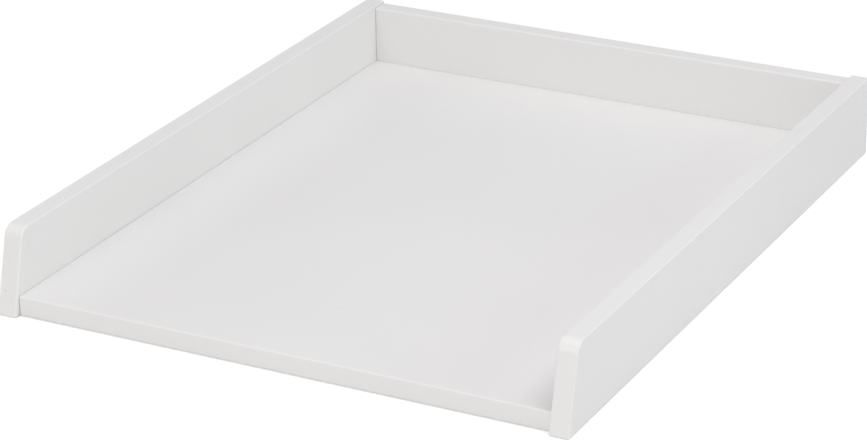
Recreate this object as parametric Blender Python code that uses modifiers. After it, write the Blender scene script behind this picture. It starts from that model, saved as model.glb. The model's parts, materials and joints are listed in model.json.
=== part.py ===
"""Open-front changing tray for the top of a chest of drawers.

Four lacquered boards (a base, two sides and a back) held together with beech
dowels, eccentric cam fittings and three screws.  Metres, +Z up.  The origin is
the middle of the tray's footprint, +Y points to the back panel and +X to the
right-hand side seen from the open front.
"""
import math

import bmesh
import bpy
from mathutils import Matrix, Vector

# ---------------------------------------------------------------- dimensions
MM = 0.001

# The boards
INNER_WIDTH = 530 * MM          # clear width between the side panels
MAT_DEPTH = 680 * MM            # from the base's front edge to the back panel
BOARD = 19 * MM                 # thickness of every board
SIDE_HEIGHT = 81 * MM           # side panels, from the underside
BACK_STEP = 2.5 * MM            # back panel's top lies this far below the sides
NOSE = 7 * MM                   # side panels stand in front of the base
TAIL = 1.5 * MM                 # side panels reach behind the back panel
NOSE_SLANT = math.radians(13.5)  # front edge of a side panel leans back
NOSE_RADIUS = 13 * MM           # upper front corner of a side panel
EDGE_RADIUS = 1.5 * MM          # eased edges of the boards
GAP = 0.3 * MM                  # clearance between pieces that touch

# Beech dowels
DOWEL_RADIUS = 4 * MM
DOWEL_LENGTH = 30 * MM
DOWEL_CHAMFER = 0.9 * MM
DOWEL_IN_FACE = 11 * MM         # depth in the board whose face is drilled

# Cam fittings: a bolt in one board, held by a disc in the other
BOLT_REACH = 34 * MM            # from the side panel's face to the disc's axis
BOLT_THREAD_LENGTH = 11 * MM
BOLT_THREAD_RADIUS = 3.1 * MM
BOLT_COLLAR_RADIUS = 3.6 * MM
BOLT_COLLAR_LENGTH = 1.5 * MM
BOLT_SHANK_RADIUS = 3.0 * MM
BOLT_NECK_RADIUS = 2.0 * MM
BOLT_NECK_LENGTH = 6.6 * MM
BOLT_HEAD_RADIUS = 3.4 * MM
BOLT_HEAD_LENGTH = 3.0 * MM
CAM_RADIUS = 7.5 * MM
CAM_HEIGHT = 13.5 * MM
CAM_RECESS = 0.3 * MM           # the disc's face lies this far inside the board
CAM_CHAMBER_RADIUS = 5.6 * MM
CAM_CHAMBER_HEIGHT = 7.4 * MM
CAM_SLOT = 5.0 * MM             # width of the slot that the bolt's neck passes
CAM_MOUTH_RADIUS = 3.9 * MM     # side hole that the bolt's head enters by
CAM_CROSS_LENGTH = 8.0 * MM
CAM_CROSS_WIDTH = 1.8 * MM
CAM_CROSS_DEPTH = 2.6 * MM
CAM_EYE_RADIUS = 2.1 * MM       # round recess in the middle of the cross

# Cover caps over the two discs in the back panel
CAP_RADIUS = 8.5 * MM
CAP_THICKNESS = 0.9 * MM
CAP_STEM_RADIUS = 1.7 * MM
CAP_STEM_LENGTH = 2.2 * MM

# Screws that come up through the base into the back panel
SCREW_LENGTH = 50 * MM
SCREW_RADIUS = 3.5 * MM
SCREW_HEAD_RADIUS = 5.0 * MM
SCREW_HEAD_HEIGHT = 4.5 * MM
SCREW_POINT_LENGTH = 4 * MM
SCREW_RECESS = 0.6 * MM         # head sits this far inside the underside
SOCKET_RADIUS = 2.3 * MM        # hexagon socket, corner to centre
SOCKET_DEPTH = 2.5 * MM

# Where the fittings are
BASE_DOWEL_SETBACKS = {"front": 60 * MM, "middle": 350 * MM, "rear": 639 * MM}
BASE_CAM_SETBACKS = {"front": 130 * MM, "rear": 569 * MM}
END_DOWEL_RISE = 13 * MM        # above the back panel's lower edge
END_CAM_RISE = 38 * MM
FOOT_DOWEL_X = 95 * MM
SCREW_X = {"left": -190 * MM, "middle": 0.0, "right": 190 * MM}
SIDES = {"left": -1, "right": 1}

# Facets
EDGE_SEGMENTS = 3
CORNER_STEPS = 7
ROUND_STEPS = 16
CAM_STEPS = 24
OVERCUT = 1 * MM                # how far a cutter starts outside the material
WELD = 0.002 * MM               # points this close are one point

# Places worked out from the dimensions
LENGTH = NOSE + MAT_DEPTH + BOARD + TAIL
SIDE_FRONT = -LENGTH / 2
SIDE_REAR = LENGTH / 2
BASE_FRONT = SIDE_FRONT + NOSE
BACK_INNER = BASE_FRONT + MAT_DEPTH
BASE_REAR = BACK_INNER + BOARD
BACK_MIDDLE = BASE_REAR - BOARD / 2
BACK_BOTTOM = BOARD + GAP
BACK_TOP = SIDE_HEIGHT - BACK_STEP
HALF_INNER = INNER_WIDTH / 2
BASE_MIDDLE_Z = BOARD / 2
FOOT_ANGLE = math.pi / 2 - NOSE_SLANT       # the side panel's sharp front foot
FOOT_LOSS = EDGE_RADIUS * (1 - math.tan(FOOT_ANGLE / 2))    # rounded off it

X = Vector((1, 0, 0))
Y = Vector((0, 1, 0))
Z = Vector((0, 0, 1))

# ---------------------------------------------------------------- the finishes
FINISHES = {
    "lacquer": ((0.79, 0.785, 0.775), 0.38, 0.0),
    "beech": ((0.70, 0.50, 0.32), 0.62, 0.0),
    "zinc": ((0.55, 0.56, 0.58), 0.42, 1.0),
    "steel": ((0.66, 0.67, 0.68), 0.28, 1.0),
    "plastic": ((0.82, 0.82, 0.81), 0.45, 0.0),
}


def finish_material(node_name, finish):
    """A material of this node's own, in one of the tray's five finishes."""
    colour, roughness, metallic = FINISHES[finish]
    material = bpy.data.materials.new(f"{node_name}_{finish}")
    material.use_nodes = True
    shader = material.node_tree.nodes["Principled BSDF"]
    shader.inputs["Base Color"].default_value = (*colour, 1.0)
    shader.inputs["Roughness"].default_value = roughness
    shader.inputs["Metallic"].default_value = metallic
    material.diffuse_color = (*colour, 1.0)
    return material


# ---------------------------------------------------------------- scene set-up
def clear_scene():
    for old in list(bpy.data.objects):
        bpy.data.objects.remove(old, do_unlink=True)


def new_collection(name):
    collection = bpy.data.collections.new(name)
    bpy.context.scene.collection.children.link(collection)
    return collection


def placement(origin, x_axis, z_axis):
    """The matrix that puts a piece's own X and Z along the given directions."""
    y_axis = z_axis.cross(x_axis)
    rotation = Matrix((x_axis, y_axis, z_axis)).transposed()
    return Matrix.Translation(origin) @ rotation.to_4x4()


# ---------------------------------------------------------------- mesh helpers
def finished_mesh(obj):
    """The mesh that an object's modifiers give; the object itself goes.

    Round faces are shaded smooth, and the edges between flat ones stay crisp.
    """
    depsgraph = bpy.context.evaluated_depsgraph_get()
    mesh = bpy.data.meshes.new_from_object(obj.evaluated_get(depsgraph))
    mesh.name = obj.name
    weld = bmesh.new()
    weld.from_mesh(mesh)
    bmesh.ops.remove_doubles(weld, verts=weld.verts, dist=WELD)
    weld.to_mesh(mesh)
    weld.free()
    mesh.shade_smooth()
    mesh.set_sharp_from_angle(angle=math.radians(35))
    bpy.data.objects.remove(obj, do_unlink=True)
    return mesh


def add_part(name, mesh, matrix, finish):
    """One sub-part: its own object, with its own material."""
    part = bpy.data.objects.new(name, mesh)
    if not mesh.materials:
        mesh.materials.append(None)
    tray.objects.link(part)
    part.parent = origin_empty
    part.matrix_world = matrix
    part.material_slots[0].link = "OBJECT"
    part.material_slots[0].material = finish_material(name, finish)
    return part


def box_mesh(name, size, centre=Vector((0, 0, 0))):
    mesh = bpy.data.meshes.new(name)
    shape = bmesh.new()
    bmesh.ops.create_cube(shape, size=1.0)
    bmesh.ops.scale(shape, vec=size, verts=shape.verts)
    bmesh.ops.translate(shape, vec=centre, verts=shape.verts)
    shape.to_mesh(mesh)
    shape.free()
    return mesh


def cylinder_mesh(name, radius, length, steps):
    """A cylinder from its origin along +Z."""
    mesh = bpy.data.meshes.new(name)
    shape = bmesh.new()
    bmesh.ops.create_cone(shape, cap_ends=True, segments=steps,
                          radius1=radius, radius2=radius, depth=length)
    bmesh.ops.translate(shape, vec=(0, 0, length / 2), verts=shape.verts)
    shape.to_mesh(mesh)
    shape.free()
    return mesh


def turned_mesh(name, profile, steps=ROUND_STEPS):
    """Turn a profile of (radius, height) points, top to bottom, about Z."""
    outline = bpy.data.meshes.new(name)
    points = [(radius, 0, height) for radius, height in profile]
    edges = [(index, index + 1) for index in range(len(points) - 1)]
    outline.from_pydata(points, edges, [])
    lathe = bpy.data.objects.new(name, outline)
    workshop.objects.link(lathe)
    screw = lathe.modifiers.new("turn", "SCREW")
    screw.steps = steps
    screw.render_steps = steps
    screw.use_merge_vertices = True
    screw.merge_threshold = WELD
    return finished_mesh(lathe)


def add_cutter(collection, mesh, matrix):
    cutter = bpy.data.objects.new(mesh.name, mesh)
    collection.objects.link(cutter)
    cutter.matrix_world = matrix
    cutter.hide_render = True
    cutter.display_type = "WIRE"
    return cutter


def cutters_for(name):
    collection = bpy.data.collections.new(f"{name}_cutters")
    workshop.children.link(collection)
    return collection


def cut(obj, collection):
    boolean = obj.modifiers.new("holes", "BOOLEAN")
    boolean.operation = "DIFFERENCE"
    boolean.operand_type = "COLLECTION"
    boolean.collection = collection
    boolean.solver = "EXACT"


def drill(collection, mouth, direction, depth, radius, steps=ROUND_STEPS):
    """A blind hole: it starts just outside its mouth and ends depth inside."""
    mesh = cylinder_mesh("drill", radius, depth + OVERCUT, steps)
    start = mouth - direction * OVERCUT
    sideways = Y if abs(direction.y) < 0.5 else X
    add_cutter(collection, mesh, placement(start, sideways, direction))


# ---------------------------------------------------------------- the boards
def ease_edges(obj, picked=None):
    """Round a board's edges: the picked ones, or every right-angled one."""
    bevel = obj.modifiers.new("eased_edges", "BEVEL")
    bevel.width = EDGE_RADIUS
    bevel.segments = EDGE_SEGMENTS
    bevel.use_clamp_overlap = False
    if picked is None:
        bevel.limit_method = "ANGLE"
        bevel.angle_limit = math.radians(40)
        return
    bevel.limit_method = "WEIGHT"
    shape = bmesh.new()
    shape.from_mesh(obj.data)
    weight = shape.edges.layers.float.new("bevel_weight_edge")
    for edge in shape.edges:
        if picked(*(vertex.co for vertex in edge.verts)):
            edge[weight] = 1.0
    shape.to_mesh(obj.data)
    shape.free()


def make_board(name, blank, holes):
    """Cut the holes in a blank, and keep the result as a sub-part."""
    cut(blank, holes)
    bpy.context.view_layer.update()
    matrix = blank.matrix_world.copy()
    add_part(name, finished_mesh(blank), matrix, "lacquer")


def box_blank(name, low, high, picked):
    """A board between two corners, with the picked edges rounded."""
    mesh = box_mesh(name, high - low, (low + high) / 2)
    blank = bpy.data.objects.new(name, mesh)
    workshop.objects.link(blank)
    ease_edges(blank, picked)
    return blank


def mark_back_line(blank):
    """An edge across the base where the back panel starts.

    The mat's part of the top is then a face of its own, clear of every board.
    """
    shape = bmesh.new()
    shape.from_mesh(blank.data)
    everything = [*shape.verts, *shape.edges, *shape.faces]
    line = Vector((0, BACK_INNER - GAP, 0))
    bmesh.ops.bisect_plane(shape, geom=everything, plane_co=line, plane_no=Y)
    shape.to_mesh(blank.data)
    shape.free()


def side_outline():
    """A side panel seen from the right: (Y, Z) points, anticlockwise."""
    foot_y = SIDE_FRONT - FOOT_LOSS
    corner_y = foot_y + SIDE_HEIGHT * math.tan(NOSE_SLANT)
    corner_angle = math.pi / 2 + NOSE_SLANT
    tangent = NOSE_RADIUS / math.tan(corner_angle / 2)
    centre_y = corner_y + tangent
    centre_z = SIDE_HEIGHT - NOSE_RADIUS
    points = [(foot_y, 0.0), (SIDE_REAR, 0.0), (SIDE_REAR, SIDE_HEIGHT)]
    for step in range(CORNER_STEPS + 1):
        share = step / CORNER_STEPS
        angle = math.pi / 2 + share * (math.pi / 2 - NOSE_SLANT)
        points.append((centre_y + NOSE_RADIUS * math.cos(angle),
                       centre_z + NOSE_RADIUS * math.sin(angle)))
    return points


def side_blank(name, sign):
    """A side panel, cut from its outline and rounded all round."""
    shape = bmesh.new()
    outline = [shape.verts.new((-BOARD / 2, y, z)) for y, z in side_outline()]
    face = shape.faces.new(outline)
    grown = bmesh.ops.extrude_face_region(shape, geom=[face])["geom"]
    moved = [item for item in grown if isinstance(item, bmesh.types.BMVert)]
    bmesh.ops.translate(shape, vec=(BOARD, 0, 0), verts=moved)
    bmesh.ops.recalc_face_normals(shape, faces=shape.faces)
    mesh = bpy.data.meshes.new(name)
    shape.to_mesh(mesh)
    shape.free()
    blank = bpy.data.objects.new(name, mesh)
    workshop.objects.link(blank)
    blank.location.x = sign * (HALF_INNER + BOARD / 2)
    ease_edges(blank)
    return blank


# ---------------------------------------------------------------- the fittings
def dowel_mesh():
    half = DOWEL_LENGTH / 2
    nose = DOWEL_RADIUS - DOWEL_CHAMFER
    shoulder = half - DOWEL_CHAMFER
    return turned_mesh("dowel", [
        (0, half), (nose, half), (DOWEL_RADIUS, shoulder),
        (DOWEL_RADIUS, -shoulder), (nose, -half), (0, -half)])


def cam_bolt_mesh():
    """Its origin is where it enters the side panel, its head is along +Z."""
    head_top = BOLT_REACH + BOLT_HEAD_LENGTH / 2
    head_foot = BOLT_REACH - BOLT_HEAD_LENGTH / 2
    neck_foot = head_foot - BOLT_NECK_LENGTH
    ease = 0.6 * MM
    return turned_mesh("cam_bolt", [
        (0, head_top),
        (BOLT_HEAD_RADIUS - ease, head_top),
        (BOLT_HEAD_RADIUS, head_top - ease),
        (BOLT_HEAD_RADIUS, head_foot + ease),
        (BOLT_NECK_RADIUS, head_foot),
        (BOLT_NECK_RADIUS, neck_foot),
        (BOLT_SHANK_RADIUS, neck_foot - ease),
        (BOLT_SHANK_RADIUS, BOLT_COLLAR_LENGTH),
        (BOLT_COLLAR_RADIUS, BOLT_COLLAR_LENGTH),
        (BOLT_COLLAR_RADIUS, GAP),
        (BOLT_THREAD_RADIUS, GAP),
        (BOLT_THREAD_RADIUS, ease - BOLT_THREAD_LENGTH),
        (BOLT_THREAD_RADIUS - ease, -BOLT_THREAD_LENGTH),
        (0, -BOLT_THREAD_LENGTH)])


def cam_mesh():
    """The disc: its face is at Z = 0 and it goes down, the bolt lies along +X."""
    holes = cutters_for("cam")
    bolt_z = CAM_RECESS - BOARD / 2

    def recess(size, centre):
        add_cutter(holes, box_mesh("recess", size, centre), Matrix())

    def bore(start, direction, radius, length):
        sideways = Y if abs(direction.y) < 0.5 else X
        add_cutter(holes, cylinder_mesh("bore", radius, length, ROUND_STEPS),
                   placement(start, sideways, direction))

    chamber_foot = Vector((0, 0, bolt_z - CAM_CHAMBER_HEIGHT / 2))
    bore(chamber_foot, Z, CAM_CHAMBER_RADIUS, CAM_CHAMBER_HEIGHT)
    slot_length = CAM_RADIUS + OVERCUT
    recess((slot_length, CAM_SLOT, CAM_SLOT), Vector((slot_length / 2, 0, bolt_z)))
    bore(Vector((0, 0, bolt_z)), -Y, CAM_MOUTH_RADIUS, slot_length)
    cross_height = CAM_CROSS_DEPTH + OVERCUT
    cross_z = OVERCUT - cross_height / 2
    recess((CAM_CROSS_LENGTH, CAM_CROSS_WIDTH, cross_height), Vector((0, 0, cross_z)))
    recess((CAM_CROSS_WIDTH, CAM_CROSS_LENGTH, cross_height), Vector((0, 0, cross_z)))
    bore(Vector((0, 0, OVERCUT)), -Z, CAM_EYE_RADIUS, cross_height)

    blank = cylinder_mesh("cam", CAM_RADIUS, CAM_HEIGHT, CAM_STEPS)
    blank.transform(Matrix.Translation((0, 0, -CAM_HEIGHT)))
    disc = bpy.data.objects.new("cam", blank)
    workshop.objects.link(disc)
    cut(disc, holes)
    return finished_mesh(disc)


def cap_mesh():
    """Its rim lies at Z = GAP on the board, and its stem goes down."""
    rim = 0.4 * MM
    top = GAP + CAP_THICKNESS
    return turned_mesh("cam_cap", [
        (0, top), (CAP_RADIUS - rim, top), (CAP_RADIUS, top - rim),
        (CAP_RADIUS, GAP), (CAP_STEM_RADIUS, GAP),
        (CAP_STEM_RADIUS, -CAP_STEM_LENGTH), (0, -CAP_STEM_LENGTH)], CAM_STEPS)


def screw_mesh():
    """Its head is at Z = 0 facing down, with a socket, and its point is up."""
    core = SCREW_RADIUS - 1 * MM
    blank = turned_mesh("screw", [
        (0, SCREW_LENGTH),
        (core * 0.5, SCREW_LENGTH),
        (SCREW_RADIUS, SCREW_LENGTH - SCREW_POINT_LENGTH),
        (SCREW_RADIUS, SCREW_HEAD_HEIGHT),
        (SCREW_HEAD_RADIUS, 1 * MM),
        (SCREW_HEAD_RADIUS, 0),
        (0, 0)])
    holes = cutters_for("screw")
    socket = cylinder_mesh("socket", SOCKET_RADIUS, SOCKET_DEPTH + OVERCUT, 6)
    add_cutter(holes, socket, placement(Vector((0, 0, -OVERCUT)), X, Z))
    body = bpy.data.objects.new("screw", blank)
    workshop.objects.link(body)
    cut(body, holes)
    return finished_mesh(body)


# ---------------------------------------------------------------- the joints
def base_to_side_joints(base_holes, side_holes, dowel, bolt, cam):
    """Dowels and cam fittings along both long edges of the base."""
    for side, sign in SIDES.items():
        outward = X * sign
        for where, setback in BASE_DOWEL_SETBACKS.items():
            joint = Vector((sign * HALF_INNER, BASE_FRONT + setback, BASE_MIDDLE_Z))
            fit_dowel(f"base_dowel_{side}_{where}", joint, outward,
                      base_holes, side_holes[side], dowel)
        for where, setback in BASE_CAM_SETBACKS.items():
            joint = Vector((sign * HALF_INNER, BASE_FRONT + setback, BASE_MIDDLE_Z))
            fit_cam(f"base_{{}}_{side}_{where}", joint, outward, -Z,
                    base_holes, side_holes[side], bolt, cam)


def back_to_side_joints(back_holes, side_holes, dowel, bolt, cam, cap):
    """A dowel, a cam fitting and its cover cap at each end of the back panel."""
    for side, sign in SIDES.items():
        outward = X * sign
        dowel_at = Vector((sign * HALF_INNER, BACK_MIDDLE, BACK_BOTTOM + END_DOWEL_RISE))
        fit_dowel(f"end_dowel_{side}", dowel_at, outward,
                  back_holes, side_holes[side], dowel)
        cam_at = Vector((sign * HALF_INNER, BACK_MIDDLE, BACK_BOTTOM + END_CAM_RISE))
        fit_cam(f"end_{{}}_{side}", cam_at, outward, Y,
                back_holes, side_holes[side], bolt, cam)
        face = cam_at - outward * BOLT_REACH + Y * (BOARD / 2)
        add_part(f"cam_cap_{side}", cap, placement(face, X, Y), "plastic")


def base_to_back_joint(base_holes, back_holes, dowel, screw):
    """Two dowels, and three screws from below, along the back panel's foot."""
    for side, sign in SIDES.items():
        joint = Vector((sign * FOOT_DOWEL_X, BACK_MIDDLE, BOARD))
        fit_dowel(f"foot_dowel_{side}", joint, -Z, back_holes, base_holes, dowel)
    screw_top = SCREW_RECESS + SCREW_LENGTH
    bore = SCREW_RADIUS + GAP
    for where, x in SCREW_X.items():
        mouth = Vector((x, BACK_MIDDLE, 0))
        drill(base_holes, mouth, Z, BOARD + OVERCUT, bore)
        drill(base_holes, mouth, Z, SCREW_RECESS + SCREW_HEAD_HEIGHT + GAP,
              SCREW_HEAD_RADIUS + GAP)
        foot = Vector((x, BACK_MIDDLE, BACK_BOTTOM))
        drill(back_holes, foot, Z, screw_top - BACK_BOTTOM + GAP, bore)
        head = Vector((x, BACK_MIDDLE, SCREW_RECESS))
        add_part(f"back_screw_{where}", screw, placement(head, X, Z), "steel")


def fit_dowel(name, joint, into_face, edge_holes, face_holes, dowel):
    """A dowel across a joint: short end in a face, long end in an edge."""
    in_edge = DOWEL_LENGTH - DOWEL_IN_FACE
    bore = DOWEL_RADIUS + GAP
    drill(face_holes, joint, into_face, DOWEL_IN_FACE + GAP, bore)
    drill(edge_holes, joint, -into_face, in_edge + GAP, bore)
    middle = joint + into_face * (DOWEL_IN_FACE - DOWEL_LENGTH / 2)
    add_part(name, dowel, placement(middle, Y, into_face), "beech")


def fit_cam(name, joint, outward, cam_face, edge_holes, side_holes, bolt, cam):
    """A bolt in the side panel, and the disc that draws its head in."""
    drill(side_holes, joint, outward, BOLT_THREAD_LENGTH + GAP,
          BOLT_THREAD_RADIUS + GAP)
    drill(edge_holes, joint, -outward, BOLT_REACH, BOLT_COLLAR_RADIUS + GAP)
    axis = joint - outward * BOLT_REACH
    mouth = axis + cam_face * (BOARD / 2)
    depth = CAM_RECESS + CAM_HEIGHT + GAP
    drill(edge_holes, mouth, -cam_face, depth, CAM_RADIUS + GAP, CAM_STEPS)
    across = cam_face.cross(outward)
    add_part(name.format("cam_bolt"), bolt, placement(joint, across, -outward), "steel")
    disc_face = mouth - cam_face * CAM_RECESS
    add_part(name.format("cam"), cam, placement(disc_face, outward, cam_face), "zinc")


def is_front_edge(start, end):
    """Both long front edges of the base."""
    limit = BASE_FRONT + 0.1 * MM
    return start.y < limit and end.y < limit and abs(start.x - end.x) > BOARD


def is_top_edge(start, end):
    """Both long top edges of the back panel."""
    limit = BACK_TOP - 0.1 * MM
    return start.z > limit and end.z > limit and abs(start.x - end.x) > BOARD


def build():
    base_holes = cutters_for("base_panel")
    back_holes = cutters_for("back_panel")
    side_holes = {side: cutters_for(f"{side}_side_panel") for side in SIDES}

    dowel = dowel_mesh()
    bolt = cam_bolt_mesh()
    cam = cam_mesh()
    base_to_side_joints(base_holes, side_holes, dowel, bolt, cam)
    back_to_side_joints(back_holes, side_holes, dowel, bolt, cam, cap_mesh())
    base_to_back_joint(base_holes, back_holes, dowel, screw_mesh())

    edge_x = HALF_INNER - GAP
    base = box_blank("base_panel", Vector((-edge_x, BASE_FRONT, 0)),
                     Vector((edge_x, BASE_REAR, BOARD)), is_front_edge)
    mark_back_line(base)
    make_board("base_panel", base, base_holes)
    back = box_blank("back_panel", Vector((-edge_x, BACK_INNER, BACK_BOTTOM)),
                     Vector((edge_x, BASE_REAR, BACK_TOP)), is_top_edge)
    make_board("back_panel", back, back_holes)
    for side, sign in SIDES.items():
        name = f"{side}_side_panel"
        make_board(name, side_blank(name, sign), side_holes[side])


clear_scene()
tray = new_collection("changing_tray")
workshop = new_collection("changing_tray_cutters")
origin_empty = bpy.data.objects.new("changing_tray_origin", None)
tray.objects.link(origin_empty)
build()
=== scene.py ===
"""The looks of the open-front changing tray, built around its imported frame.

Each board and fitting gets a finely rounded piece of its own: eased boards with
drilled holes, fluted dowels, threaded bolts and screws, cast cam discs and
moulded caps.  Metres, in the frame's own axes: +Y to the back, +Z up.
"""
import json
import math

import bmesh
import bpy
from mathutils import Matrix, Vector

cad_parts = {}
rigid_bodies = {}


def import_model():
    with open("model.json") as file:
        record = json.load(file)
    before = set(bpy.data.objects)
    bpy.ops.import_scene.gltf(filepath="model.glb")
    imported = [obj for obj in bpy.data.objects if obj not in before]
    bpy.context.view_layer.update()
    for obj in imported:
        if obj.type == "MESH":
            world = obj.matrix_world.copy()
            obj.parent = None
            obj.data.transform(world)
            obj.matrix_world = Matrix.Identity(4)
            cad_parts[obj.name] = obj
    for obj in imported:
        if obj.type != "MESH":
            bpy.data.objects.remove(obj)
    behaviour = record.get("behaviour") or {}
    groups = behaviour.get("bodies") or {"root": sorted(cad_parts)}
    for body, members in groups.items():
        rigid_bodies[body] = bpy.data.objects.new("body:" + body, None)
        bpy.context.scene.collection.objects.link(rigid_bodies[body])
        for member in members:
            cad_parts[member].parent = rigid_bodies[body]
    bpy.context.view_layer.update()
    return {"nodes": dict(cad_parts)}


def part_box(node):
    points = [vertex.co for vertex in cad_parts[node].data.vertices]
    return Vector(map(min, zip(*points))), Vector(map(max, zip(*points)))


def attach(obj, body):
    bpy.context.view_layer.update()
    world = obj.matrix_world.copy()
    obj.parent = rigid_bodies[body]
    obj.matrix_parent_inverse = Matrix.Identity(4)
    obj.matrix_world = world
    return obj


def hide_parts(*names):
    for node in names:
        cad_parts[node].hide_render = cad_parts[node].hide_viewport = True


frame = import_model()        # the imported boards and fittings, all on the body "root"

MM = 0.001
X = Vector((1, 0, 0))
Y = Vector((0, 1, 0))
Z = Vector((0, 0, 1))

# ------------------------------------------------------------------ the frame
NODES = sorted(frame["nodes"])
DOWELS = [node for node in NODES if "_dowel_" in node]
BOLTS = [node for node in NODES if "_cam_bolt_" in node]
CAMS = [node for node in NODES if "_cam_" in node and node not in BOLTS]
CAPS = [node for node in NODES if node.startswith("cam_cap_")]
SCREWS = [node for node in NODES if node.startswith("back_screw_")]

BASE_LOW, BASE_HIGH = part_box("base_panel")
BACK_LOW, BACK_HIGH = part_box("back_panel")
RIGHT_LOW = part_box("right_side_panel")[0]
BOARD = BASE_HIGH.z - BASE_LOW.z
INNER_FACE = RIGHT_LOW.x        # the side boards' inner faces, either side of 0

# ------------------------------------------------------------------ shape sizes
EDGE_RADIUS = 1.5 * MM          # eased edges of the boards
EDGE_STEPS = 6
ARRIS_RADIUS = 0.22 * MM        # the barely broken edges inside the joints
ARRIS_STEPS = 2
CRISP = math.radians(40)        # a board's edges that turn by more than this are crisp
SCREWED_DOWN = 0.03 * MM        # all that is left between the back board and the base
NOSE_SLANT = math.radians(13.5)  # front edge of a side board leans back
NOSE_RADIUS = 13 * MM           # its upper front corner
NOSE_STEPS = 20
FOOT_ANGLE = math.pi / 2 - NOSE_SLANT       # a side board's sharp front foot
FOOT_LOSS = EDGE_RADIUS * (1 - math.tan(FOOT_ANGLE / 2))    # rounded off it

HOLE_ROOM = 0.12 * MM           # between a fitting and its hole
HOLE_END_ROOM = 0.5 * MM
HOLE_STEPS = 40
OVERCUT = 1 * MM                # how far a cutter stands out of what it cuts

DOWEL_CHAMFER = 1.0 * MM
DOWEL_TIP = 0.06 * MM           # the ends are slightly domed, flat over a share
DOWEL_TIP_SHARE = 0.6
DOWEL_FLUTES = 14
DOWEL_FLUTE_DEPTH = 0.28 * MM
DOWEL_FLUTE_STEPS = 8
DOWEL_FLUTE_START = 0.3 * MM

BOLT_REACH = 34 * MM            # from the side board's face to the disc's axis
BOLT_THREAD = 11 * MM
BOLT_THREAD_END = 0.4 * MM      # before the collar
BOLT_TIP = 0.3 * MM
BOLT_TIP_SHARE = 0.55
BOLT_CREST = 3.1 * MM
BOLT_CORE = 2.2 * MM
BOLT_PITCH = 2.6 * MM
BOLT_COLLAR = 3.55 * MM
BOLT_COLLAR_HEIGHT = 1.5 * MM
BOLT_SHANK = 2.95 * MM
BOLT_NECK = 1.95 * MM
BOLT_NECK_LENGTH = 6.6 * MM
BOLT_NECK_CONE = 0.8 * MM
BOLT_HEAD = 3.35 * MM
BOLT_HEAD_HEIGHT = 3.0 * MM
BOLT_HEAD_FOOT = 0.9 * MM       # how much narrower the head is at its foot
BOLT_HEAD_STEP = 0.1 * MM       # from the neck to the foot
BOLT_COLLAR_STEP = 0.02 * MM    # the collar stands this little off the board's face
BOLT_ROUNDING = 0.35 * MM
BOLT_HEAD_TOP = BOLT_REACH + BOLT_HEAD_HEIGHT / 2
BOLT_ARM_LENGTH = 3.4 * MM      # the crosshead recess
BOLT_ARM_WIDTH = 0.8 * MM
BOLT_ARM_DEPTH = 1.5 * MM

CAM_RADIUS = 7.5 * MM
CAM_HEIGHT = 13.5 * MM
CAM_RECESS = 0.3 * MM
CAM_ROUNDING = 0.5 * MM
CAM_WEAR = 0.14 * MM            # the broken edges of a casting
CAM_STEPS = 48
CAM_CHAMBER_RADIUS = 5.6 * MM
CAM_CHAMBER_HEIGHT = 7.4 * MM
CAM_SLOT = 5.0 * MM
CAM_SLOT_START = -95            # degrees about the disc's axis
CAM_SLOT_END = 24
CAM_MOUTH_RADIUS = 3.9 * MM
CAM_ARM_LENGTH = 8.4 * MM
CAM_ARM_WIDTH = 1.7 * MM
CAM_ARM_DEPTH = 2.6 * MM
CAM_EYE_RADIUS = 2.1 * MM

CAP_RADIUS = 8.5 * MM
CAP_FOOT = 0.05 * MM            # a cap's foot and top, off the board's face
CAP_TOP = 1.15 * MM
CAP_DOME = 0.12 * MM
CAP_ROUNDING = 0.45 * MM
CAP_LIP = 0.15 * MM
CAP_STEM_RADIUS = 1.7 * MM
CAP_STEM_LENGTH = 2.2 * MM
CAP_STEM_TIP = 0.3 * MM
CAP_STEM_TIP_SHARE = 0.8
CAP_STEPS = 64

SCREW_LENGTH = 50 * MM
SCREW_CREST = 3.45 * MM
SCREW_CORE = 2.4 * MM
SCREW_PITCH = 3.0 * MM
SCREW_HEAD = 4.95 * MM
SCREW_RIM = 1.0 * MM            # the head's rim and cone end this far from its face
SCREW_CONE = 4.5 * MM
SCREW_THREAD_START = 10 * MM
SCREW_THREAD_END = 46 * MM
SCREW_SHANK_END = 9.4 * MM
SCREW_ROUNDING = 0.3 * MM
SCREW_TIP = ((0.8, 1.6 * MM), (0.35, 0.4 * MM))     # share of the core, below the point
SCREW_POINT = 0.3 * MM
SOCKET_RADIUS = 2.3 * MM
SOCKET_DEPTH = 2.5 * MM
SOCKET_SIDES = 6

ROUND_STEPS = 36
THREAD_STEPS = 10               # rows of points along one turn of a thread
THREAD_FOOT = 0.32              # half a ridge's width, as a share of the pitch
THREAD_FULLNESS = 0.8           # 1 is a sharp ridge, less is a fuller one
WELD = 0.001 * MM               # points closer than this are one


# ------------------------------------------------------------------ the studio
SOFTBOX_DISTANCE = 2.8
LOW_BOX = (1.5, 1.0)
HIGH_BOX = (1.4, 1.4)
# name, azimuth from +X and elevation in degrees, width and height, watts, colour
SOFTBOXES = (
    ("right_low", 0, 20, LOW_BOX, 8.9, (0.87, 1.00, 0.85)),
    ("right_high", 0, 66, HIGH_BOX, 22.4, (1.00, 0.985, 0.99)),
    ("front_low", 270, 20, LOW_BOX, 15.1, (0.986, 1.00, 0.916)),
    ("left_low", 180, 20, LOW_BOX, 7.5, (0.91, 1.00, 0.82)),
    ("front_left_high", 225, 66, HIGH_BOX, 4.3, (1.00, 1.00, 0.78)),
)
ROOM_LIGHT = 0.538
ROOM_COLOUR = (0.965, 0.939, 1.00, 1.0)

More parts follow.
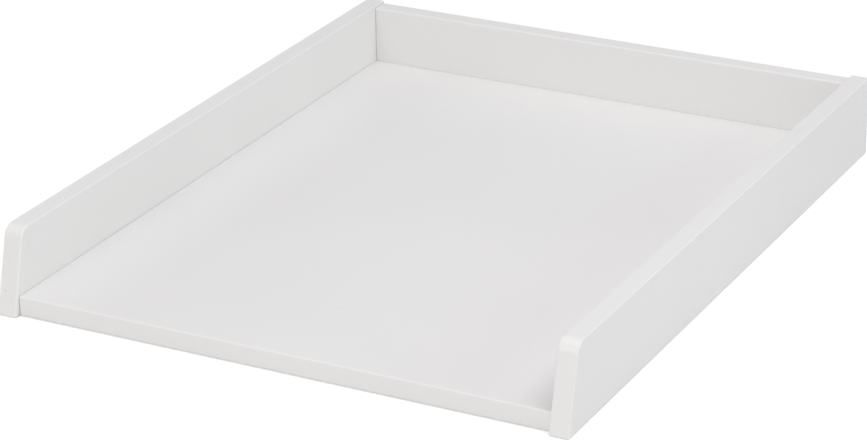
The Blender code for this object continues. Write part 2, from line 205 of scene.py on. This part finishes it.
FLOOR_REACH = 12.0
FLOOR_DROP = 0.2 * MM               # keeps the floor clear of the boards' undersides
FLOOR_TONES = ((0.795, 0.795, 0.795), (0.805, 0.805, 0.805))
FLOOR_GLOW = (0.34, 0.34, 0.34)     # lifts it to the white of a lit backdrop

CAMERA_PLACE = Vector((1.2692, -2.4789, 1.1966))
CAMERA_AZIMUTH = math.radians(27.557)       # turned to the left of +Y
CAMERA_DROP = math.radians(23.078)          # looking down
CAMERA_ROLL = math.radians(-0.721)
CAMERA_LENS = 131.72                        # both in Blender's millimetres
CAMERA_SENSOR = 36.0


# ------------------------------------------------------------------ node helpers
MIX_FACTOR, MIX_FIRST, MIX_SECOND = 0, 6, 7     # a Mix node's inputs for colours
MIX_RESULT = 2                                  # and its output


class Nodes:
    """A material's node tree, with short ways to add and join nodes."""

    def __init__(self, name):
        self.material = bpy.data.materials.new(name)
        self.material.use_nodes = True
        self.tree = self.material.node_tree
        self.shader = self.tree.nodes["Principled BSDF"]
        coordinates = self.tree.nodes.new("ShaderNodeTexCoord")
        self.place = coordinates.outputs["Object"]

    def add(self, kind, **settings):
        node = self.tree.nodes.new(kind)
        for name, value in settings.items():
            setattr(node, name, value)
        return node

    def join(self, source, target):
        self.tree.links.new(source, target)

    def feed(self, value, socket):
        """Give a socket another node's output, a colour or a number."""
        if isinstance(value, bpy.types.NodeSocket):
            self.join(value, socket)
        elif isinstance(value, tuple):
            socket.default_value = (*value, 1.0)
        else:
            socket.default_value = value

    def stretched(self, scale):
        """The piece's own coordinates, scaled along X, Y and Z."""
        mapping = self.add("ShaderNodeMapping")
        mapping.inputs["Scale"].default_value = scale
        self.join(self.place, mapping.inputs["Vector"])
        return mapping.outputs["Vector"]

    def noise(self, scale, detail=2.0, roughness=0.5, place=None):
        texture = self.add("ShaderNodeTexNoise")
        texture.inputs["Scale"].default_value = scale
        texture.inputs["Detail"].default_value = detail
        texture.inputs["Roughness"].default_value = roughness
        self.join(place or self.place, texture.inputs["Vector"])
        return texture.outputs["Fac"]

    def cells(self, scale, place=None):
        """How far a point lies from the nearest of scattered spots."""
        texture = self.add("ShaderNodeTexVoronoi")
        texture.inputs["Scale"].default_value = scale
        self.join(place or self.place, texture.inputs["Vector"])
        return texture.outputs["Distance"]

    def map_range(self, value, low, high, to_low, to_high):
        node = self.add("ShaderNodeMapRange")
        node.inputs["From Min"].default_value = low
        node.inputs["From Max"].default_value = high
        node.inputs["To Min"].default_value = to_low
        node.inputs["To Max"].default_value = to_high
        self.join(value, node.inputs["Value"])
        return node.outputs["Result"]

    def ramp(self, value, *stops):
        node = self.add("ShaderNodeValToRGB")
        band = node.color_ramp
        while len(band.elements) < len(stops):
            band.elements.new(0.5)
        for element, (position, colour) in zip(band.elements, stops):
            element.position = position
            element.color = (*colour, 1.0)
        self.join(value, node.inputs["Fac"])
        return node.outputs["Color"]

    def blend(self, factor, first, second):
        node = self.add("ShaderNodeMix", data_type="RGBA")
        self.feed(factor, node.inputs[MIX_FACTOR])
        self.feed(first, node.inputs[MIX_FIRST])
        self.feed(second, node.inputs[MIX_SECOND])
        return node.outputs[MIX_RESULT]

    def bump(self, height, depth, under=None):
        node = self.add("ShaderNodeBump")
        node.inputs["Distance"].default_value = depth
        self.join(height, node.inputs["Height"])
        if under is not None:
            self.join(under, node.inputs["Normal"])
        return node.outputs["Normal"]

    def set(self, **values):
        """Feed the shader's sockets, and give the finished material."""
        for name, value in values.items():
            self.feed(value, self.shader.inputs[name.replace("_", " ")])
        return self.material


# ------------------------------------------------------------------ the finishes
# Scales are in cycles or cells per metre, bump depths in metres.
LACQUER = (0.860, 0.857, 0.852)
DUST = (0.42, 0.40, 0.37)
FIBRE_DARK = (0.30, 0.19, 0.11)
FIBRE = (0.46, 0.32, 0.20)
FIBRE_PALE = (0.60, 0.45, 0.30)
BEECH_DARK = (0.50, 0.31, 0.17)
BEECH = (0.63, 0.42, 0.25)
BEECH_PALE = (0.72, 0.52, 0.33)
BEECH_RAY = (0.36, 0.20, 0.10)
ZINC_DARK = (0.40, 0.41, 0.43)
ZINC_PALE = (0.60, 0.61, 0.63)
STEEL_COOL = (0.55, 0.57, 0.59)
STEEL_WARM = (0.74, 0.74, 0.72)
PLASTIC_DARK = (0.78, 0.78, 0.77)
PLASTIC_PALE = (0.82, 0.82, 0.81)


def lacquer(name, edge):
    """Sprayed white satin lacquer; on eased edges the fibres show faintly."""
    nodes = Nodes(name)
    darker = tuple(0.985 * channel for channel in LACQUER)
    paler = tuple(1.01 * channel for channel in LACQUER)
    drift = nodes.noise(scale=5.0, detail=2.0)
    tint = nodes.ramp(drift, (0.30, darker), (0.72, paler))
    specks = nodes.cells(scale=30.0)
    dust = nodes.map_range(specks, 0.016, 0.031, to_low=0.38, to_high=0.0)
    colour = nodes.blend(dust, tint, DUST)
    sheen = nodes.noise(scale=60.0, detail=3.0, roughness=0.6)
    smoothest, roughest = (0.42, 0.54) if edge else (0.33, 0.43)
    gloss = nodes.map_range(sheen, 0.25, 0.75, to_low=smoothest, to_high=roughest)
    peel = nodes.noise(scale=430.0, detail=1.5, roughness=0.45)
    surface = nodes.bump(peel, depth=0.018 * MM)
    if edge:
        fibres = nodes.noise(scale=1700.0, detail=3.0, roughness=0.7)
        surface = nodes.bump(fibres, depth=0.012 * MM, under=surface)
    return nodes.set(Base_Color=colour, Roughness=gloss, Normal=surface,
                     Coat_Weight=0.18, Coat_Roughness=0.16)


def raw_board(name):
    """Fibreboard where a drill has gone through the lacquer."""
    nodes = Nodes(name)
    fibres = nodes.noise(scale=900.0, detail=5.0, roughness=0.7)
    colour = nodes.ramp(fibres, (0.25, FIBRE_DARK), (0.55, FIBRE), (0.80, FIBRE_PALE))
    surface = nodes.bump(fibres, depth=0.10 * MM)
    return nodes.set(Base_Color=colour, Roughness=0.88, Normal=surface)


def beech(name):
    """Pinkish straight grain along Z, with the short dark rays of beech."""
    nodes = Nodes(name)
    along_grain = nodes.stretched((1.0, 1.0, 0.06))
    grain = nodes.noise(scale=900.0, detail=4.0, roughness=0.6, place=along_grain)
    wood = nodes.ramp(grain, (0.25, BEECH_DARK), (0.55, BEECH), (0.85, BEECH_PALE))
    rays = nodes.cells(scale=1400.0, place=nodes.stretched((1.0, 1.0, 0.22)))
    flecks = nodes.map_range(rays, 0.10, 0.24, to_low=0.55, to_high=0.0)
    colour = nodes.blend(flecks, wood, BEECH_RAY)
    surface = nodes.bump(grain, depth=0.05 * MM)
    return nodes.set(Base_Color=colour, Roughness=0.66, Normal=surface)


def cast_zinc(name):
    """Grey pressure-cast zinc, a little grainy and unevenly dull."""
    nodes = Nodes(name)
    patches = nodes.noise(scale=260.0, detail=3.0, roughness=0.6)
    colour = nodes.ramp(patches, (0.30, ZINC_DARK), (0.75, ZINC_PALE))
    gloss = nodes.map_range(patches, 0.3, 0.7, to_low=0.50, to_high=0.34)
    grain = nodes.noise(scale=2600.0, detail=3.0, roughness=0.6)
    surface = nodes.bump(grain, depth=0.03 * MM)
    return nodes.set(Base_Color=colour, Roughness=gloss, Metallic=1.0, Normal=surface)


def plated_steel(name):
    """Bright zinc-plated steel, with fine rings left by the lathe."""
    nodes = Nodes(name)
    round_axis = nodes.stretched((60.0, 60.0, 5200.0))
    rings = nodes.noise(scale=1.0, detail=2.0, place=round_axis)
    haze = nodes.noise(scale=500.0, detail=3.0, roughness=0.6)
    colour = nodes.ramp(haze, (0.30, STEEL_COOL), (0.70, STEEL_WARM))
    gloss = nodes.map_range(rings, 0.3, 0.7, to_low=0.20, to_high=0.36)
    surface = nodes.bump(rings, depth=0.006 * MM)
    return nodes.set(Base_Color=colour, Roughness=gloss, Metallic=1.0, Normal=surface)


def moulded_plastic(name):
    """White polystyrene with a fine spark-eroded grain."""
    nodes = Nodes(name)
    drift = nodes.noise(scale=120.0, detail=2.0)
    colour = nodes.ramp(drift, (0.30, PLASTIC_DARK), (0.70, PLASTIC_PALE))
    grain = nodes.noise(scale=3800.0, detail=2.0)
    gloss = nodes.map_range(grain, 0.3, 0.7, to_low=0.38, to_high=0.50)
    surface = nodes.bump(grain, depth=0.012 * MM)
    return nodes.set(Base_Color=colour, Roughness=gloss, Normal=surface)


def pale_floor(name):
    """A matt ground that looks white but lights the tray no more than a pale one."""
    nodes = Nodes(name)
    darker, paler = FLOOR_TONES
    drift = nodes.noise(scale=1.5, detail=2.0)
    tone = nodes.ramp(drift, (0.3, darker), (0.7, paler))
    ray = nodes.add("ShaderNodeLightPath")
    return nodes.set(Base_Color=tone, Roughness=0.9, Emission_Color=FLOOR_GLOW,
                     Emission_Strength=ray.outputs["Is Camera Ray"])


# ------------------------------------------------------------------ mesh helpers
def placement(origin, x_axis, z_axis):
    """The matrix that puts a piece's own X and Z along the given directions."""
    rotation = Matrix((x_axis, z_axis.cross(x_axis), z_axis)).transposed()
    return Matrix.Translation(origin) @ rotation.to_4x4()


def mesh_of(shape, name):
    mesh = bpy.data.meshes.new(name)
    bmesh.ops.recalc_face_normals(shape, faces=shape.faces)
    shape.to_mesh(mesh)
    shape.free()
    return mesh


def cylinder(radius, length, steps=HOLE_STEPS):
    """A cylinder from its origin along +Z."""
    shape = bmesh.new()
    bmesh.ops.create_cone(shape, cap_ends=True, segments=steps,
                          radius1=radius, radius2=radius, depth=length)
    bmesh.ops.translate(shape, vec=(0, 0, length / 2), verts=shape.verts)
    return mesh_of(shape, "cylinder")


def box_shape(size, centre):
    shape = bmesh.new()
    bmesh.ops.create_cube(shape, size=1.0)
    bmesh.ops.scale(shape, vec=size, verts=shape.verts)
    bmesh.ops.translate(shape, vec=centre, verts=shape.verts)
    return shape


def extrude(shape, face, along):
    """Make a solid of one face, by drawing a copy of it along a vector."""
    grown = bmesh.ops.extrude_face_region(shape, geom=[face])
    moved = [item for item in grown["geom"] if isinstance(item, bmesh.types.BMVert)]
    bmesh.ops.translate(shape, vec=along, verts=moved)


def turned(name, rows, steps, relief=None):
    """A turned body from (radius, height) rows, lowest first.

    relief(angle, radius, height) may move a point in or out, for flutes and threads.
    """
    shape = bmesh.new()
    rings = []
    for radius, height in rows:
        ring = []
        for step in range(steps):
            angle = 2 * math.pi * step / steps
            reach = relief(angle, radius, height) if relief else radius
            point = (reach * math.cos(angle), reach * math.sin(angle), height)
            ring.append(shape.verts.new(point))
        rings.append(ring)
    for lower, upper in zip(rings, rings[1:]):
        for step in range(steps):
            after = (step + 1) % steps
            shape.faces.new((lower[step], lower[after], upper[after], upper[step]))
    shape.faces.new(list(reversed(rings[0])))
    shape.faces.new(rings[-1])
    return mesh_of(shape, name)


def arc_rows(centre_radius, centre_height, radius, start, end, steps=4):
    """Rows round a small fillet, between two angles in degrees from +X."""
    rows = []
    for step in range(steps + 1):
        angle = math.radians(start + (end - start) * step / steps)
        rows.append((centre_radius + radius * math.cos(angle),
                     centre_height + radius * math.sin(angle)))
    return rows


def thread(core, crest, pitch, start, end):
    """Rows and relief for a helical thread between two heights."""
    count = math.ceil((end - start) / pitch * THREAD_STEPS)
    heights = [start + (end - start) * index / count for index in range(count + 1)]

    def relief(angle, radius, height):
        if not start <= height <= end:
            return radius
        turn = (height / pitch - angle / (2 * math.pi)) % 1.0
        ridge = max(0.0, 1.0 - abs(turn - 0.5) / THREAD_FOOT) ** THREAD_FULLNESS
        run_out = min(1.0, (height - start) / pitch, (end - height) / pitch)
        return core + (crest - core) * ridge * max(0.0, run_out)

    return [(core, height) for height in heights], relief


class Cutters:
    """The drills for one piece, kept in a collection until they have cut it."""

    def __init__(self):
        self.collection = bpy.data.collections.new("cutters")
        bpy.context.scene.collection.children.link(self.collection)

    def add(self, mesh, matrix=None, material=None):
        if material:
            mesh.materials.append(material)
        cutter = bpy.data.objects.new("cutter", mesh)
        self.collection.objects.link(cutter)
        cutter.matrix_world = matrix or Matrix()

    def bore(self, start, direction, length, radius, material=None):
        sideways = Y if abs(direction.y) < 0.5 else X
        self.add(cylinder(radius, length), placement(start, sideways, direction), material)

    def cut(self, obj):
        boolean = obj.modifiers.new("holes", "BOOLEAN")
        boolean.operand_type = "COLLECTION"
        boolean.collection = self.collection
        boolean.solver = "EXACT"
        boolean.material_mode = "TRANSFER"
        apply_modifiers(obj)
        for cutter in list(self.collection.objects):
            bpy.data.objects.remove(cutter, do_unlink=True)
        bpy.data.collections.remove(self.collection)


def apply_modifiers(obj):
    depsgraph = bpy.context.evaluated_depsgraph_get()
    mesh = bpy.data.meshes.new_from_object(obj.evaluated_get(depsgraph))
    mesh.name = obj.name
    obj.modifiers.clear()
    obj.data = mesh


def new_object(name, mesh):
    obj = bpy.data.objects.new(name, mesh)
    bpy.context.scene.collection.objects.link(obj)
    return obj


def smooth(obj, crease=32):
    """Round faces shade smooth, flat ones stay flat, sharp edges stay crisp."""
    shape = bmesh.new()
    shape.from_mesh(obj.data)
    bmesh.ops.remove_doubles(shape, verts=shape.verts, dist=WELD)
    shape.to_mesh(obj.data)
    shape.free()
    obj.data.shade_smooth()
    obj.data.set_sharp_from_angle(angle=math.radians(crease))
    normals = obj.modifiers.new("flat_faces_stay_flat", "WEIGHTED_NORMAL")
    normals.keep_sharp = True
    normals.weight = 100
    apply_modifiers(obj)


def break_edges(obj, width, crease):
    """A fine worn radius along every sharp edge of a fitting."""
    bevel = obj.modifiers.new("broken_edges", "BEVEL")
    bevel.width = width
    bevel.segments = 2
    bevel.limit_method = "ANGLE"
    bevel.angle_limit = math.radians(crease)
    bevel.use_clamp_overlap = True
    apply_modifiers(obj)


def fit(obj, node):
    """The piece stands for its node, and moves with the tray."""
    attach(obj, "root")
    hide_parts(node)


def repeat(master, material, nodes, ending, place):
    """A copy of the master for every node, at place(node).  The master goes."""
    master.data.materials.clear()
    master.data.materials.append(material)
    for node in nodes:
        piece = new_object(f"{node}_{ending}", master.data.copy())
        piece.matrix_world = place(node)
        fit(piece, node)
    bpy.data.objects.remove(master, do_unlink=True)


def middle_of(node):
    low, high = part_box(node)
    return (low + high) / 2


def is_left(node):
    return middle_of(node).x < 0


# ------------------------------------------------------------------ the boards
def ease(shape, edges, radius, steps):
    """Round the given edges. The new faces take the second finish."""
    made = bmesh.ops.bevel(shape, geom=edges, offset=radius, offset_type="OFFSET",
                           segments=steps, profile=0.5, affect="EDGES",
                           clamp_overlap=True)
    for face in made["faces"]:
        face.material_index = 1


def side_shape(low, high):
    """A side board: slanted front edge, large upper front corner, all eased."""
    height = high.z - low.z
    foot = low.y - FOOT_LOSS
    corner = foot + height * math.tan(NOSE_SLANT)
    tangent = NOSE_RADIUS / math.tan((math.pi / 2 + NOSE_SLANT) / 2)
    outline = [(foot, low.z), (high.y, low.z), (high.y, high.z)]
    for step in range(NOSE_STEPS + 1):
        angle = math.pi / 2 + step / NOSE_STEPS * (math.pi / 2 - NOSE_SLANT)
        outline.append((corner + tangent + NOSE_RADIUS * math.cos(angle),
                        high.z - NOSE_RADIUS + NOSE_RADIUS * math.sin(angle)))
    shape = bmesh.new()
    face = shape.faces.new([shape.verts.new((low.x, y, z)) for y, z in outline])
    extrude(shape, face, X * (high.x - low.x))
    bmesh.ops.recalc_face_normals(shape, faces=shape.faces)
    crisp = [edge for edge in shape.edges if edge.calc_face_angle() > CRISP]
    ease(shape, crisp, EDGE_RADIUS, EDGE_STEPS)
    return shape


def plank_shape(low, high, is_eased):
    """A plain board: the long edges picked by is_eased are round, others crisp."""
    shape = box_shape(high - low, (low + high) / 2)
    eased = [edge for edge in shape.edges
             if is_eased((edge.verts[0].co + edge.verts[1].co) / 2)]
    ease(shape, eased, EDGE_RADIUS, EDGE_STEPS)
    arrises = [edge for edge in shape.edges if edge.calc_face_angle() > CRISP]
    ease(shape, arrises, ARRIS_RADIUS, ARRIS_STEPS)
    return shape


def overlaps(first, second):
    """Whether two boxes share space, along all three axes."""
    return all(first[0][axis] < second[1][axis] and second[0][axis] < first[1][axis]
               for axis in range(3))


def dowel_line(node):
    """A dowel's direction, its length and its radius."""
    low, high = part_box(node)
    size = high - low
    axis = Z if size.z > size.x else X
    return axis, max(size), size.y / 2


def drill_for_dowel(cutters, node, raw):
    axis, dowel_length, radius = dowel_line(node)
    length = dowel_length + 2 * HOLE_END_ROOM
    start = middle_of(node) - axis * (length / 2)
    cutters.bore(start, axis, length, radius + HOLE_ROOM, raw)


def bolt_origin(node):
    """Where a cam bolt crosses the side board's face, and which way it points."""
    sign = -1 if is_left(node) else 1
    middle = middle_of(node)
    return Vector((sign * INNER_FACE, middle.y, middle.z)), -X * sign


def drill_for_bolt(cutters, node, raw, into_side):
    joint, inward = bolt_origin(node)
    if into_side:
        cutters.bore(joint + inward * OVERCUT, -inward,
                     OVERCUT + BOLT_THREAD + HOLE_END_ROOM, BOLT_CREST + HOLE_ROOM, raw)
    else:
        cutters.bore(joint - inward * OVERCUT, inward, OVERCUT + BOLT_REACH,
                     BOLT_COLLAR + HOLE_ROOM, raw)


def cam_face(node):
    """The middle of a cam disc's outer face, and the way that face looks."""
    low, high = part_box(node)
    middle = middle_of(node)
    if high.z - low.z < high.x - low.x:
        return Vector((middle.x, middle.y, low.z)), -Z
    return Vector((middle.x, high.y, middle.z)), Y


def drill_for_cam(cutters, node, raw):
    face, outward = cam_face(node)
    start = face + outward * (CAM_RECESS + OVERCUT)
    depth = OVERCUT + CAM_RECESS + CAM_HEIGHT + HOLE_END_ROOM
    cutters.bore(start, -outward, depth, CAM_RADIUS + HOLE_ROOM, raw)


def drill_for_screw(cutters, node, raw):
    low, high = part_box(node)
    middle = middle_of(node)
    head = SCREW_HEAD + HOLE_ROOM
    shank = SCREW_CREST + HOLE_ROOM
    rows = [(head, -OVERCUT), (head, low.z + SCREW_RIM),
            (shank, low.z + SCREW_CONE + HOLE_END_ROOM), (shank, high.z + HOLE_END_ROOM)]
    cutters.add(turned("stepped_drill", rows, HOLE_STEPS),
                Matrix.Translation((middle.x, middle.y, 0)), raw)


def finish_board(node, shape, finishes, raw):
    """Drill a board wherever a fitting's box reaches into it, and finish it."""
    board = new_object(f"{node}_lacquered", mesh_of(shape, node))
    for material in finishes:
        board.data.materials.append(material)
    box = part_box(node)
    cutters = Cutters()
    for dowel in DOWELS:
        if overlaps(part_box(dowel), box):
            drill_for_dowel(cutters, dowel, raw)
    for bolt in BOLTS:
        if overlaps(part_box(bolt), box):
            drill_for_bolt(cutters, bolt, raw, into_side="side_panel" in node)
    for cam in CAMS:
        if overlaps(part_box(cam), box):
            drill_for_cam(cutters, cam, raw)
    for screw in SCREWS:
        if overlaps(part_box(screw), box):
            drill_for_screw(cutters, screw, raw)
    cutters.cut(board)
    smooth(board)
    fit(board, node)


def make_boards():
    finishes = (lacquer("white_lacquer", edge=False),
                lacquer("white_lacquer_on_edges", edge=True))
    raw = raw_board("raw_fibreboard")
    near = 0.1 * MM

    def at_base_front(point):
        return abs(point.x) < near and point.y < BASE_LOW.y + near

    def at_back_top(point):
        return abs(point.x) < near and point.z > BACK_HIGH.z - near

    base = plank_shape(BASE_LOW, BASE_HIGH, at_base_front)
    finish_board("base_panel", base, finishes, raw)
    back_low = Vector((BACK_LOW.x, BACK_LOW.y, BASE_HIGH.z + SCREWED_DOWN))
    back = plank_shape(back_low, BACK_HIGH, at_back_top)
    finish_board("back_panel", back, finishes, raw)
    for node in ("left_side_panel", "right_side_panel"):
        low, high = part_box(node)
        finish_board(node, side_shape(low, high), finishes, raw)


# ------------------------------------------------------------------ the fittings
def dowel_mesh(length, radius):
    half = length / 2
    shoulder = half - DOWEL_CHAMFER
    nose = radius - DOWEL_CHAMFER
    upper = [(radius, shoulder - DOWEL_FLUTE_START), (radius, shoulder),
             (nose, half - DOWEL_TIP), (nose * DOWEL_TIP_SHARE, half)]
    lower = [(reach, -height) for reach, height in reversed(upper)]

    def flutes(angle, reach, height):
        if abs(height) > shoulder:
            return reach
        wave = 0.5 - 0.5 * math.cos(angle * DOWEL_FLUTES)
        return reach - DOWEL_FLUTE_DEPTH * wave ** 3

    return turned("dowel", lower + upper, DOWEL_FLUTES * DOWEL_FLUTE_STEPS, flutes)


def make_dowels(material):
    for node in DOWELS:
        axis, length, radius = dowel_line(node)
        mesh = dowel_mesh(length, radius)
        mesh.materials.append(material)
        dowel = new_object(f"{node}_fluted", mesh)
        dowel.matrix_world = placement(middle_of(node), Y, axis)
        smooth(dowel, crease=40)
        fit(dowel, node)


def bolt_mesh():
    """Thread below its origin, collar at it, head up at the disc's axis."""
    ease_size = BOLT_ROUNDING
    head_foot = BOLT_REACH - BOLT_HEAD_HEIGHT / 2
    neck_foot = head_foot - BOLT_NECK_LENGTH
    threads, relief = thread(BOLT_CORE, BOLT_CREST, BOLT_PITCH,
                             -BOLT_THREAD, -BOLT_THREAD_END)
    rows = [(BOLT_CORE * BOLT_TIP_SHARE, -BOLT_THREAD - BOLT_TIP), *threads,
            (BOLT_CORE, 0.0), (BOLT_COLLAR - ease_size, BOLT_COLLAR_STEP)]
    rows += arc_rows(BOLT_COLLAR - ease_size, ease_size, ease_size, -80, 0)
    rows += arc_rows(BOLT_COLLAR - ease_size, BOLT_COLLAR_HEIGHT - ease_size,
                     ease_size, 0, 80)
    rows += [(BOLT_SHANK, BOLT_COLLAR_HEIGHT), (BOLT_SHANK, neck_foot - BOLT_NECK_CONE),
             (BOLT_NECK, neck_foot), (BOLT_NECK, head_foot - BOLT_HEAD_STEP),
             (BOLT_HEAD - BOLT_HEAD_FOOT, head_foot)]
    rows += arc_rows(BOLT_HEAD - ease_size, head_foot + 2 * ease_size, ease_size, -60, 0)
    rows += arc_rows(BOLT_HEAD - 2 * ease_size, BOLT_HEAD_TOP - 2 * ease_size,
                     2 * ease_size, 0, 85)
    return turned("cam_bolt", rows, ROUND_STEPS, relief)


def cross_recess(cutters, arm_length, arm_width, depth):
    """A crosshead recess, cut down from just above Z = 0."""
    height = depth + OVERCUT
    middle = Vector((0, 0, OVERCUT - height / 2))
    for size in ((arm_length, arm_width, height), (arm_width, arm_length, height)):
        cutters.add(mesh_of(box_shape(size, middle), "arm"))


def make_bolts(material):
    """One bolt, cut with its head's face at Z = 0, then moved back and repeated."""
    mesh = bolt_mesh()
    mesh.transform(Matrix.Translation((0, 0, -BOLT_HEAD_TOP)))
    master = new_object("cam_bolt", mesh)
    cutters = Cutters()
    cross_recess(cutters, BOLT_ARM_LENGTH, BOLT_ARM_WIDTH, BOLT_ARM_DEPTH)
    cutters.cut(master)
    master.data.transform(Matrix.Translation((0, 0, BOLT_HEAD_TOP)))
    smooth(master, crease=50)

    def place(node):
        origin, inward = bolt_origin(node)
        return placement(origin, Y, inward)

    repeat(master, material, BOLTS, "threaded", place)


def sector(radius, start, end, height, steps=24):
    """A flat pie slice about Z, between two angles in degrees."""
    shape = bmesh.new()
    points = [shape.verts.new((0, 0, -height / 2))]
    for step in range(steps + 1):
        angle = math.radians(start + (end - start) * step / steps)
        points.append(shape.verts.new((radius * math.cos(angle),
                                       radius * math.sin(angle), -height / 2)))
    face = shape.faces.new(points)
    extrude(shape, face, Z * height)
    return mesh_of(shape, "sector")


def make_cams(material):
    """Cast discs: hollow for the bolt's head, with a slot that draws it in."""
    rim = CAM_ROUNDING
    rows = [(CAM_RADIUS - rim, -CAM_HEIGHT),
            *arc_rows(CAM_RADIUS - rim, rim - CAM_HEIGHT, rim, -80, 0),
            *arc_rows(CAM_RADIUS - rim, -rim, rim, 0, 80),
            (CAM_RADIUS - rim, 0)]
    master = new_object("cam", turned("cam", rows, CAM_STEPS))
    bolt_axis = Vector((0, 0, CAM_RECESS - BOARD / 2))
    cutters = Cutters()
    cutters.bore(bolt_axis - Z * (CAM_CHAMBER_HEIGHT / 2), Z,
                 CAM_CHAMBER_HEIGHT, CAM_CHAMBER_RADIUS)
    cutters.add(sector(CAM_RADIUS + OVERCUT, CAM_SLOT_START, CAM_SLOT_END, CAM_SLOT),
                Matrix.Translation(bolt_axis))
    cutters.bore(bolt_axis, -Y, CAM_RADIUS + OVERCUT, CAM_MOUTH_RADIUS)
    cross_recess(cutters, CAM_ARM_LENGTH, CAM_ARM_WIDTH, CAM_ARM_DEPTH)
    cutters.bore(Vector((0, 0, OVERCUT)), -Z, OVERCUT + CAM_ARM_DEPTH, CAM_EYE_RADIUS)
    cutters.cut(master)
    break_edges(master, CAM_WEAR, crease=50)
    smooth(master, crease=40)

    def place(node):
        face, outward = cam_face(node)
        towards_side = -X if is_left(node) else X
        return placement(face, towards_side, outward)

    repeat(master, material, CAMS, "cast", place)


def make_caps(material):
    """Domed covers with a stem that grips the disc's recess."""
    rim = CAP_ROUNDING
    rows = [(CAP_STEM_RADIUS * CAP_STEM_TIP_SHARE, -CAP_STEM_LENGTH),
            (CAP_STEM_RADIUS, CAP_STEM_TIP - CAP_STEM_LENGTH),
            (CAP_STEM_RADIUS, CAP_FOOT), (CAP_RADIUS - rim, CAP_FOOT)]
    rows += arc_rows(CAP_RADIUS - CAP_LIP, CAP_FOOT + CAP_LIP, CAP_LIP, -70, 0, steps=2)
    rows += arc_rows(CAP_RADIUS - rim, CAP_TOP - CAP_DOME - rim, rim, 0, 80)
    rows += [(CAP_RADIUS * share, CAP_TOP - CAP_DOME * share ** 2)
             for share in (0.9, 0.7, 0.5, 0.3, 0.1)]
    for node in CAPS:
        middle = middle_of(node)
        mesh = turned("cap", rows, CAP_STEPS)
        mesh.materials.append(material)
        cap = new_object(f"{node}_moulded", mesh)
        cap.matrix_world = placement(Vector((middle.x, BACK_HIGH.y, middle.z)), X, Y)
        smooth(cap, crease=40)
        fit(cap, node)


def make_screws(material):
    """Head down with its socket, coarse thread up into the back board."""
    threads, relief = thread(SCREW_CORE, SCREW_CREST, SCREW_PITCH,
                             SCREW_THREAD_START, SCREW_THREAD_END)
    rim = SCREW_ROUNDING
    rows = [*arc_rows(SCREW_HEAD - rim, rim, rim, -85, 0),
            (SCREW_HEAD, SCREW_RIM), (SCREW_CREST, SCREW_CONE),
            (SCREW_CREST, SCREW_SHANK_END), *threads]
    rows += [(SCREW_CORE * share, SCREW_LENGTH - below) for share, below in SCREW_TIP]
    rows += [(SCREW_POINT, SCREW_LENGTH)]
    master = new_object("screw", turned("screw", rows, ROUND_STEPS, relief))
    cutters = Cutters()
    cutters.add(cylinder(SOCKET_RADIUS, SOCKET_DEPTH + OVERCUT, SOCKET_SIDES),
                Matrix.Translation((0, 0, -OVERCUT)))
    cutters.cut(master)
    smooth(master, crease=50)

    def place(node):
        middle = middle_of(node)
        head_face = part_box(node)[0].z
        return Matrix.Translation((middle.x, middle.y, head_face))

    repeat(master, material, SCREWS, "threaded", place)


# ------------------------------------------------------------------ the stage
def make_floor(material):
    """A plain floor, under the tray and far past it."""
    shape = bmesh.new()
    bmesh.ops.create_grid(shape, x_segments=1, y_segments=1, size=FLOOR_REACH)
    floor = new_object("floor", mesh_of(shape, "floor"))
    floor.location.z = -FLOOR_DROP
    floor.data.materials.append(material)


def softbox(name, azimuth, elevation, size, power, colour):
    """A lamp that looks at the tray, azimuth from +X and elevation in degrees."""
    light = bpy.data.lights.new(name, "AREA")
    light.shape = "RECTANGLE"
    light.size, light.size_y = size
    light.energy = power
    light.color = colour
    lamp = bpy.data.objects.new(name, light)
    bpy.context.scene.collection.objects.link(lamp)
    turn = math.radians(azimuth)
    rise = math.radians(elevation)
    outward = Vector((math.cos(turn) * math.cos(rise),
                      math.sin(turn) * math.cos(rise), math.sin(rise)))
    lamp.location = outward * SOFTBOX_DISTANCE
    lamp.rotation_euler = outward.to_track_quat("Z", "Y").to_euler()


def make_lights():
    world = bpy.data.worlds.new("studio")
    bpy.context.scene.world = world
    world.use_nodes = True
    background = world.node_tree.nodes["Background"]
    background.inputs["Color"].default_value = ROOM_COLOUR
    background.inputs["Strength"].default_value = ROOM_LIGHT
    for lamp in SOFTBOXES:
        softbox(*lamp)
    bpy.context.scene.view_settings.view_transform = "Standard"


def make_camera():
    data = bpy.data.cameras.new("camera")
    data.lens = CAMERA_LENS
    data.sensor_width = CAMERA_SENSOR
    data.clip_start = 0.05
    data.clip_end = 100.0
    camera = bpy.data.objects.new("camera", data)
    bpy.context.scene.collection.objects.link(camera)
    turn = Matrix.Rotation(CAMERA_AZIMUTH, 4, "Z")
    tilt = Matrix.Rotation(math.pi / 2 - CAMERA_DROP, 4, "X")
    roll = Matrix.Rotation(CAMERA_ROLL, 4, "Z")
    camera.matrix_world = Matrix.Translation(CAMERA_PLACE) @ turn @ tilt @ roll
    bpy.context.scene.camera = camera


# ------------------------------------------------------------------ the scene
make_camera()
make_boards()
make_dowels(beech("fluted_beech"))
steel = plated_steel("plated_steel")
make_bolts(steel)
make_screws(steel)
make_cams(cast_zinc("cast_zinc"))
make_caps(moulded_plastic("moulded_plastic"))
make_floor(pale_floor("pale_floor"))
make_lights()
